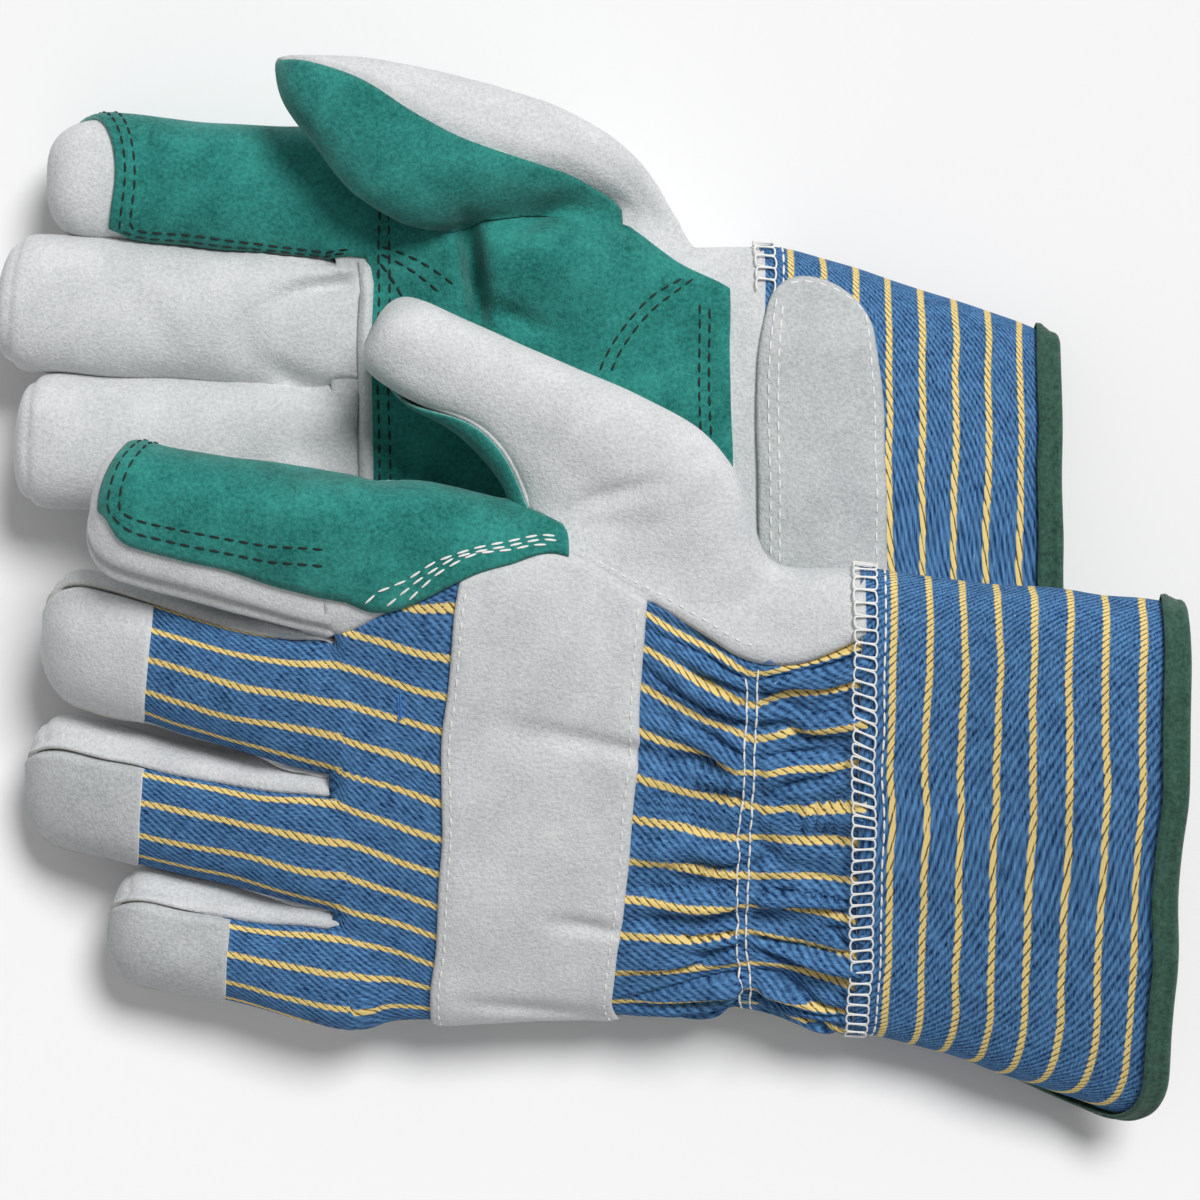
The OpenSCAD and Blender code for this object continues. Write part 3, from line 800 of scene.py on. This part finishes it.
def gathers(d, across):
    """Puckers that the elastic draws up, pinched flat under its two rows of stitches."""
    pull = 0.9 * bump(d - ELASTIC_MID, 20) + 0.35 * bump(d - 4, 8)
    fold = noise.noise(Vector((across / 5.2, d / 30, 3)))
    folds = fold - 0.7 * bump(fold, 0.09) + 0.5 * noise.noise(Vector((across / 2.6, d / 15, 8)))
    pinch = min(1, bump(d - ELASTIC_MID + ROW_HALF, 1.3) + bump(d - ELASTIC_MID - ROW_HALF, 1.3))
    return 4.2 * pull * folds * (1 - 0.75 * pinch) - 0.9 * pinch


for g in (RIGHT, LEFT):

    def back_flat(u, v):
        d, a = back_at(u, v)
        rise = HAND_H / 2 * ease((106 - d) / 20)
        y = KNUCKLE_Y[g] * ease(d / HAND_LEN) + girth(hand_half(g, d), rise, 3, a)
        return -d, (y + stripe_shift(d, y)) * FULLNESS

    drape(
        g, "back_canvas", 140, 124, lambda u, v, o: on_hand(g, *back_at(u, v), o), 0,
        CANVAS_T, CANVAS,
        puff=lambda u, v: gathers(back_at(u, v)[0], back_flat(u, v)[1]) + groove(min(u, 1 - u) * BACK_W)
        - 0.5 * ease((back_at(u, v)[0] - 102) / 5),
        flat=back_flat,
    )
    for f in (MIDDLE, RING, LITTLE):
        cap_from = 1 - TIP_LEN / FINGER_LEN[f]

        def finger_back_at(u, v):
            return mix(BACK_START, cap_from + UNDER_TIP, v), mix(FAR_SEAM, SEAM_AT[f], u)

        def finger_flat(u, v):
            t, a = finger_back_at(u, v)
            half = mix(pitch(g, f), FINGER_W[f] * SQUEEZE[g], ease(t / 0.35)) / 2
            rise = FINGER_H / 2 * ease(t / 0.3)
            across = cell_y(g, f) + girth(half, rise, mix(3.6, 2.3, ease(t / 0.5)), a)
            return -HAND_LEN - t * FINGER_LEN[f], across * FULLNESS

        def from_seam(u):
            return min(u, 1 - u) * FINGER_BACK_W

        drape(
            g, FINGERS[f] + "_back", 40, 60,
            lambda u, v, o: on_finger(g, f, *finger_back_at(u, v), o), FINGER_BACK_OVER, CANVAS_T, CANVAS,
            puff=lambda u, v: groove(from_seam(u)) - 0.5 * (1 - ease(v * 12)), flat=finger_flat,
        )
        # The middle fingertip is grey leather; the ring and little fingertips take the darker copy, painted
        # shade
        drape(
            g, FINGERS[f] + "_tip", 40, 36,
            lambda u, v, o: on_finger(g, f, down_finger(f, cap_from, v), mix(FAR_SEAM, SEAM_AT[f], u), o),
            TIP_OVER, LEATHER_T, GREY if f == MIDDLE else SHADED,
            puff=lambda u, v: shut(v) * (groove(from_seam(u)) - 0.8 * bump(from_seam(u), 2)),
        )

# Knuckle strap
# A plain band of the grey leather is sewn over the canvas across the knuckles, with one row of
# white stitches along each edge. Its thumb end is caught under the edge of the palm leather.
STRAP_FLAT_L, STRAP_FLAT_W = 118, 40
# Its two edges, by share of its length: distance from the wrist seam. And the angle of its far end
STRAP_FINGER_SIDE = ((0, 79), (0.35, 84), (0.7, 87), (1, 85))
STRAP_WRIST_SIDE = ((0, 42), (0.35, 45), (0.7, 49), (1, 45.5))
STRAP_FAR_END = 190


def strap_at(u, v):
    d = mix(follow(STRAP_WRIST_SIDE, u), follow(STRAP_FINGER_SIDE, u), v)
    return d, mix(follow(WRAP, d) - 1.5, STRAP_FAR_END, u)


for g in (RIGHT, LEFT):
    drape(
        g, "knuckle_strap", 120, 50, lambda u, v, o: on_hand(g, *strap_at(u, v), o),
        LEATHER_T, LEATHER_T, GREY,
        puff=lambda u, v: rolled(min(v, 1 - v) * STRAP_FLAT_W) - 2.2 * bump(u * STRAP_FLAT_L, 1.2)
        - 1.2 * bump((1 - u) * STRAP_FLAT_L, 2),
    )

# Welt, lining and wrist elastic
# A folded strip of leather guards the seam at the foot of the middle and ring fingers. Fleece
# lines the palm, and a band of elastic sits behind the gathered canvas.
WELT_FROM, WELT_W, WELT_OVER, WELT_ROLL = 95, 4, 0.6, 1.5
# Thickness and length of the lining, and the angles of its edges
LINING_T, LINING_LEN, LINING_EDGES = 0.8, 102, (184, 336)
# Thickness and width of the elastic, its depth under the canvas and the angles of its ends
ELASTIC_T, ELASTIC_W, ELASTIC_DEEP, ELASTIC_ENDS = 0.8, 6, 3, (60, 170)
# Brushed cotton and rubber thread wound with cotton, both off-white and dull
FLEECE = napped("cotton_fleece", "#D9D3C4", "#F1ECDF", 6, 1.2, 1.0, 0.6)
ELASTIC = napped("woven_elastic", "#D6D3CB", "#EEECE6", 3, 0.8, 0.8, 0.3)


def palm_angle(g, d, y):
    """Angle on the palm side at distance y from the wrist centre."""
    share = (y - KNUCKLE_Y[g] * ease(d / HAND_LEN)) / hand_half(g, d)
    return 360 - math.degrees(math.acos(max(-1, min(1, bend(share, 1.5)))))


for g in (RIGHT, LEFT):
    foot = [palm_angle(g, WELT_FROM, y) for y in (cell_y(g, RING) - pitch(g, RING) / 2,
                                                  cell_y(g, MIDDLE) + pitch(g, MIDDLE) / 2)]
    drape(
        g, "finger_welt", 60, 12,
        lambda u, v, o: on_hand(g, WELT_FROM + WELT_W * v, mix(*foot, u), o), WELT_OVER, LEATHER_T, GREY,
        puff=lambda u, v: WELT_ROLL * math.sin(math.pi * v) * min(1, 12 * u, 12 * (1 - u)),
    )
    drape(
        g, "palm_lining", 50, 50,
        lambda u, v, o: on_hand(g, LINING_LEN * v, mix(*LINING_EDGES, u), o),
        -LEATHER_T - LAYER_GAP, LINING_T, (FLEECE,) * 3,
    )
    drape(
        g, "wrist_elastic", 60, 8,
        lambda u, v, o: on_hand(g, ELASTIC_MID + ELASTIC_W * (v - 0.5), mix(*ELASTIC_ENDS, u), o),
        -CANVAS_T - ELASTIC_DEEP, ELASTIC_T, (ELASTIC,) * 3,
    )

# Safety cuff
# The cuff is a stiff sleeve of the same twill, its stripes running round the wrist, backed with
# rubberised interlining and open at the little-finger side in two rounded corners. Dark green
# tape binds its edge, and a rounded leather patch covers the pulse.
CUFF_LEN, CUFF_W, CUFF_H = 64, 113, 30
NOTCH_LEN = 26
BACKING_T = 1.0
# Binding: how far it stands off the cuff, thickness of its tape and how far it reaches in
BINDING_T, TAPE_T, BINDING_W = 0.8, 0.5, 4.2
# How each cuff lies, right then left: shift of its edge sideways and up, how flat and how wide it
# is pressed there, how much of its length shows, and how it bows
EDGE_Y, EDGE_Z = (-18, -13), (2.3, 4)
EDGE_FLAT, EDGE_OPEN, SLOPE, BOW = (0.66, 1), (0.88, 1), (0.95, 1), (1.4, 1)
# Way round the cuff laid flat, the first stripe's distance from the wrist seam, and how much closer
# together its stripes lie than the back's
CUFF_ROUND, FIRST_STRIPE, CLOSER = 240, 6.7, 1.045
# The pulse patch: length along the cuff, width laid flat, and half the angle that it covers
PULSE_LEN, PULSE_W, PULSE_HALF = 27, 76, 58
# Rubber-coated cloth is buff and slightly smooth; woven cotton tape is dark green with a fine grain
INTERLINING = napped("rubberised_interlining", "#B8B2A2", "#D3CDBD", 7, 0.9, 0.9, 0.25)
BINDING = napped("green_binding_tape", "#203E33", "#3F6455", 2.5, 0.9, 0.8, 0.35)


def cuff(g, s, a, o):
    """Cuff at s from the wrist seam to its edge, which falls back to the slit in rounded corners."""
    near_slit = min(1, max(0, 1 - abs(a % 360 - 180) / 52))
    d = s * (CUFF_LEN - NOTCH_LEN * (1 - math.sqrt(1 - near_slit**2)))
    t = d / CUFF_LEN
    centre = (d * SLOPE[g], EDGE_Y[g] * max(0, t) ** BOW[g], EDGE_Z[g] * ease(t))
    half_w = mix(WRIST_W, CUFF_W * EDGE_OPEN[g], ease(t)) / 2 + o
    half_h = mix(WRIST_H, CUFF_H * EDGE_FLAT[g], ease(t)) / 2 + o
    return section(centre, (0, 1), half_w, half_h, 2.8, a)


def binding_at(q):
    """Fold of the tape: out along the face, round the edge and back along the inside."""
    wall = CANVAS_T + BACKING_T
    back = 1 - BINDING_W / CUFF_LEN
    if q < 0.4:
        return mix(back, 1, q / 0.4), BINDING_T
    if q > 0.6:
        return mix(1, back, (q - 0.6) / 0.4), -wall - BINDING_T
    turn = math.pi * (q - 0.4) / 0.2
    half = wall / 2 + BINDING_T
    return 1 + 0.5 * half * math.sin(turn) / CUFF_LEN, -wall / 2 + half * math.cos(turn)


for g in (RIGHT, LEFT):
    drape(
        g, "cuff_canvas", 200, 56, lambda u, v, o: cuff(g, v, 180 + 360 * u, o),
        0, CANVAS_T, CANVAS,
        flat=lambda u, v: (CUFF_ROUND * u, CLOSER * (CUFF_LEN * v - FIRST_STRIPE) + STRIPE_PITCH / 2),
    )
    drape(
        g, "cuff_backing", 120, 20, lambda u, v, o: cuff(g, v * 0.99, 180 + 360 * u, o),
        -CANVAS_T - LAYER_GAP, BACKING_T, (INTERLINING,) * 3,
    )
    drape(
        g, "cuff_binding", 220, 30,
        lambda u, q, o: cuff(g, binding_at(q)[0], 180 + 360 * u, binding_at(q)[1] + o), 0, TAPE_T,
        (BINDING,) * 3,
        puff=lambda u, q: 0.35 * bump(abs(q - 0.5) - 0.2, 0.1) - 0.3 * bump((abs(q - 0.5) - 0.42) * 16, 0.5),
    )

    def pulse_at(u, v, o):
        x, y = 2 * u - 1, 2 * v - 1
        wide = x * math.sqrt(1 - 0.42 * y * y)
        deep = y * math.sqrt(1 - 0.42 * x * x)
        return cuff(g, mix(-0.02, PULSE_LEN / CUFF_LEN, (deep + 1) / 2), 270 + PULSE_HALF * wide, o)

    # The pulse patch takes the darker leather copy, painted shade
    drape(
        g, "pulse_patch", 84, 36, pulse_at, LEATHER_T, LEATHER_T, SHADED,
        puff=lambda u, v: rolled(min(u, 1 - u) * PULSE_W) + rolled(min(v, 1 - v) * PULSE_LEN),
    )

# Stitching
# White thread holds the strap, the elastic and the pulse patch; black thread, two rows side by
# side, holds the green suede. Each stitch is a short thread that dives into the leather.
STITCH, STITCH_GAP, THREAD = 2.1, 0.9, 0.55
# The index patch: its width by which the rows are set in, and where the knuckle is along it
INDEX_ROW_W = 66
KNUCKLE_ROW = (HAND_LEN - INDEX_FROM) / (HAND_LEN - INDEX_FROM + FINGER_LEN[INDEX] * 0.9)
# Rows from the palm patch's corner at the index finger: y there, then d and y of the far end
CORNER_ROWS = ((51, 74, 42), (49.5, 76, 39), (48, 86, 37))


def thread_finish(name, shade):
    """Spun cotton thread: plain and matt."""
    material, _, face = blank(name, 0.75)
    face["Base Color"].default_value = linear(shade)
    return material


WHITE_THREAD = thread_finish("white_cotton_thread", "#EDECE8")
BLACK_THREAD = thread_finish("black_cotton_thread", "#16211E")
GREEN_THREAD = thread_finish("green_cotton_thread", "#0F241B")
BLUE_THREAD = thread_finish("blue_cotton_thread", "#3D78BE")


def trail(name, corners, steps=60):
    """Points and normals on a finished piece, along straight runs between (u, v) corners."""
    tree, g, place, out = SKINS[name]
    spots = []
    for (u0, v0), (u1, v1) in zip(corners, corners[1:]):
        for k in range(steps):
            p = lay(g, place(mix(u0, u1, k / steps), mix(v0, v1, k / steps), out))
            spots.append(tree.find_nearest(p)[:2])
    return spots


def run_up(points):
    """Millimetres run up to each point of a line."""
    reach = [0]
    for p, q in zip(points, points[1:]):
        reach.append(reach[-1] + (q - p).length * 1000)
    return reach


def sew(g, name, trails, finish, stitch=STITCH, gap=STITCH_GAP, thread=THREAD):
    """Rows of stitches as one piece that rides on glove g, with one thread lozenge for each stitch."""
    bm = bmesh.new()
    for spots in trails:
        reach = run_up([p for p, _ in spots])
        start, k = gap, 0
        while start + stitch < reach[-1]:
            ends = []
            for goal in (start, start + stitch):
                while reach[k + 1] < goal:
                    k += 1
                share = (goal - reach[k]) / max(1e-6, reach[k + 1] - reach[k])
                ends.append(spots[k][0].lerp(spots[k + 1][0], share))
            along = (ends[1] - ends[0]).normalized()
            side = spots[k][1].cross(along).normalized()
            turn = Matrix((side, along.cross(side), along)).transposed().to_4x4()
            size = Matrix.Diagonal((thread / 2000, thread / 2400, stitch / 1900, 1))
            middle = (ends[0] + ends[1]) / 2 + spots[k][1] * thread / 5000
            bmesh.ops.create_uvsphere(bm, u_segments=6, v_segments=4, radius=1,
                                      matrix=Matrix.Translation(middle) @ turn @ size)
            start += stitch + gap
    mesh = meshed(name, bm)
    mesh.shade_smooth()
    mesh.materials.append(finish)
    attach(shown(name, mesh), SIDES[g] + "_glove")


def palm_patch_uv(g, d, y):
    """Place on the palm patch's cut of what lies d from the wrist seam and y from its centre."""
    share = (palm_angle(g, d, y) - PALM_FAR_EDGE) / (follow(PALM_EDGE, d) - PALM_FAR_EDGE)
    return share, (d - PALM_FROM) / (PALM_TO - PALM_FROM)


def index_loop(inset):
    """A row along both sides and round the end of the index patch, inset millimetres from its edge."""
    aside, short = inset / INDEX_ROW_W, 1 - inset / INDEX_PATCH_L
    return [(aside, KNUCKLE_ROW), (aside, short), (1 - aside, short), (1 - aside, KNUCKLE_ROW)]


def index_corner(k):
    """A row across the index patch's corner on the hand, k of its length from the first row."""
    return [(0.01, 0.39 - k), (0.055, 0.33 - k), (0.09 - 0.2 * k, 0.26 - k), (0.105 - 0.85 * k, 0.01)]


for g in (RIGHT, LEFT):
    side = SIDES[g]
    strap = side + "_knuckle_strap"
    strap_rows = [trail(strap, [(0.03, v), (0.97, v)], 200) for v in (0.045, 0.955)]
    sew(g, strap + "_stitches", strap_rows, WHITE_THREAD, stitch=1.7, gap=1.3, thread=0.45)
    back = side + "_back_canvas"
    gathered = [(ELASTIC_MID + k - BACK_FROM) / (BACK_TO - BACK_FROM) for k in (-ROW_HALF, ROW_HALF)]
    gather_rows = [trail(back, [(0.02, v), (0.5, v + 0.012), (0.98, v)], 120) for v in gathered]
    sew(g, side + "_elastic_stitches", gather_rows, WHITE_THREAD, stitch=2.7, gap=0.2)
    if g == LEFT:
        bar_rows = [trail(back, [(0.805, v), (0.845, v)], 40) for v in (0.856, 0.86)]
        sew(g, side + "_bartack", bar_rows, BLUE_THREAD, stitch=2.2, gap=-0.5, thread=0.5)
    edge_row = trail(side + "_palm_leather", [(0.972, 0.2), (0.972, 0.5)], 120)
    sew(g, side + "_palm_edge_stitches", [edge_row], WHITE_THREAD, stitch=1.1, gap=1.5, thread=0.4)
    patch = side + "_index_patch"
    sew(g, patch + "_stitches", [trail(patch, index_loop(i), 90) for i in (2.4, 4.6)], BLACK_THREAD)
    corner_rows = [trail(patch, index_corner(k)) for k in (0, 0.04, 0.08)]
    sew(g, patch + "_white_stitches", corner_rows, WHITE_THREAD, stitch=2.6)
    patch = side + "_palm_patch"
    palm_rows = [trail(patch, [(0.03, v), (0.94, v)], 120) for v in (0.058, 0.085, 0.935, 0.965)]
    for k in (0, 3):
        palm_rows.append(trail(patch, [palm_patch_uv(g, 16 + k, 44), palm_patch_uv(g, 37 + k, 23)]))
    for y, d, to in CORNER_ROWS:
        palm_rows.append(trail(patch, [palm_patch_uv(g, 94, y), palm_patch_uv(g, d, to)]))
    sew(g, patch + "_stitches", palm_rows, BLACK_THREAD)
    pulse = side + "_pulse_patch"
    pulse_rows = [trail(pulse, [(0.06, v), (0.94, v)], 120) for v in (0.1, 0.17)]
    pulse_rows.append(trail(pulse, [(0.03, 0.12), (0.03, 0.92), (0.97, 0.92), (0.97, 0.12)], 90))
    sew(g, pulse + "_stitches", pulse_rows, WHITE_THREAD, thread=0.45)
    binding = side + "_cuff_binding"
    sew(g, binding + "_stitches", [trail(binding, [(0, 0.07), (1, 0.07)], 260)], GREEN_THREAD)
    chain_row = trail(side + "_cuff_canvas", [(0, 0.075), (1, 0.075)], 260)
    sew(g, side + "_cuff_chain_stitches", [chain_row], WHITE_THREAD, stitch=2.4, gap=0.5)

# Overlocked wrist seam
# Hand and cuff are joined by an overlocked seam whose white loops lie over the raw edge like a
# ladder, about five millimetres wide, all round the wrist.
LOOP_PITCH, LOOP_MID, LOOP_HALF, LOOP_THREAD = 2.6, -0.9, 2.1, 0.42
# Angles round the wrist from which and to which it runs, and steps to measure it by
SEAM_FROM, SEAM_TO, SEAM_STEPS = (-44, -28), 186, 400
# One loop: shares of its pitch, and how far out it bulges there
LOOP = ((0.03, 0.9), (0.14, 1), (0.5, 1.12), (0.86, 1), (0.97, 0.9))
for g in (RIGHT, LEFT):
    side = SIDES[g]
    rope = bpy.data.curves.new(side + "_overlock_path", "CURVE")
    rope.dimensions = "3D"
    rope.bevel_depth = LOOP_THREAD / 2000
    rope.bevel_resolution = 1
    rope.use_fill_caps = True
    rope.resolution_u = 3

    def seam_point(a, x, o):
        """Point x from the wrist seam: beyond it on the hand, before it on the cuff."""
        return lay(g, on_hand(g, x, a, o) if x > 0 else cuff(g, -x / CUFF_LEN, a, o))

    start, turn = SEAM_FROM[g], SEAM_TO - SEAM_FROM[g]
    seam = [seam_point(start + turn * k / SEAM_STEPS, 0.5, 0.5) for k in range(SEAM_STEPS + 1)]
    reach = run_up(seam)

    def angle_at(run):
        """Angle at which the seam has run this many millimetres."""
        k = max(i for i in range(SEAM_STEPS) if reach[i] <= run)
        return start + turn * (k + (run - reach[k]) / (reach[k + 1] - reach[k])) / SEAM_STEPS

    for phase in (0, 1):
        path = []
        for k in range(int(reach[-1] / LOOP_PITCH) - 1):
            rail = LOOP_HALF if (k + phase) % 2 else -LOOP_HALF
            for share, out in LOOP:
                jog = 0.3 * noise.noise(Vector((k * 0.7 + share, phase * 9, g * 5)))
                run = (k + share) * LOOP_PITCH + jog
                lift = 0.75 + 0.3 * ((k + phase) % 2)
                path.append(seam_point(angle_at(run), LOOP_MID + rail * out + jog, lift))
        line = rope.splines.new("NURBS")
        line.points.add(len(path) - 1)
        for point, p in zip(line.points, path):
            point.co = (*p, 1)
        line.order_u = 3
        line.use_endpoint_u = True
    loops = shown(side + "_overlock_path", rope)
    mesh = bpy.data.meshes.new_from_object(loops.evaluated_get(bpy.context.evaluated_depsgraph_get()))
    bpy.data.objects.remove(loops)
    mesh.materials.clear()
    mesh.materials.append(WHITE_THREAD)
    mesh.shade_smooth()
    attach(shown(side + "_overlock", mesh), side + "_glove")

# Camera and light
# Straight down on the pair from a metre above the table, under soft light from the thumb side.
EYE_AT = (0.0028, -0.001, 1.0)
VIEW_W = 0.252
camera = bpy.data.cameras.new("camera")
camera.angle = 2 * math.atan(VIEW_W / 2 / EYE_AT[2])
eye = shown("camera", camera)
eye.location = EYE_AT
bpy.context.scene.camera = eye
bpy.context.scene.view_settings.view_transform = "Standard"

FLOOR_HALF = 2
bm = bmesh.new()
bmesh.ops.create_grid(bm, x_segments=1, y_segments=1, size=FLOOR_HALF)
floor = shown("floor", meshed("floor", bm))
white, _, face = blank("white_table", 0.9)
face["Base Color"].default_value = (0.92, 0.92, 0.92, 1)
floor.data.materials.append(white)

sun = bpy.data.lights.new("window", "SUN")
sun.energy = 2.6
sun.angle = math.radians(22)
lamp = shown("window", sun)
lamp.rotation_euler = (math.radians(-26), math.radians(20), 0)
world = bpy.data.worlds.new("studio")
world.use_nodes = True
world.node_tree.nodes["Background"].inputs["Color"].default_value = (1, 1, 1, 1)
world.node_tree.nodes["Background"].inputs["Strength"].default_value = 0.31
bpy.context.scene.world = world
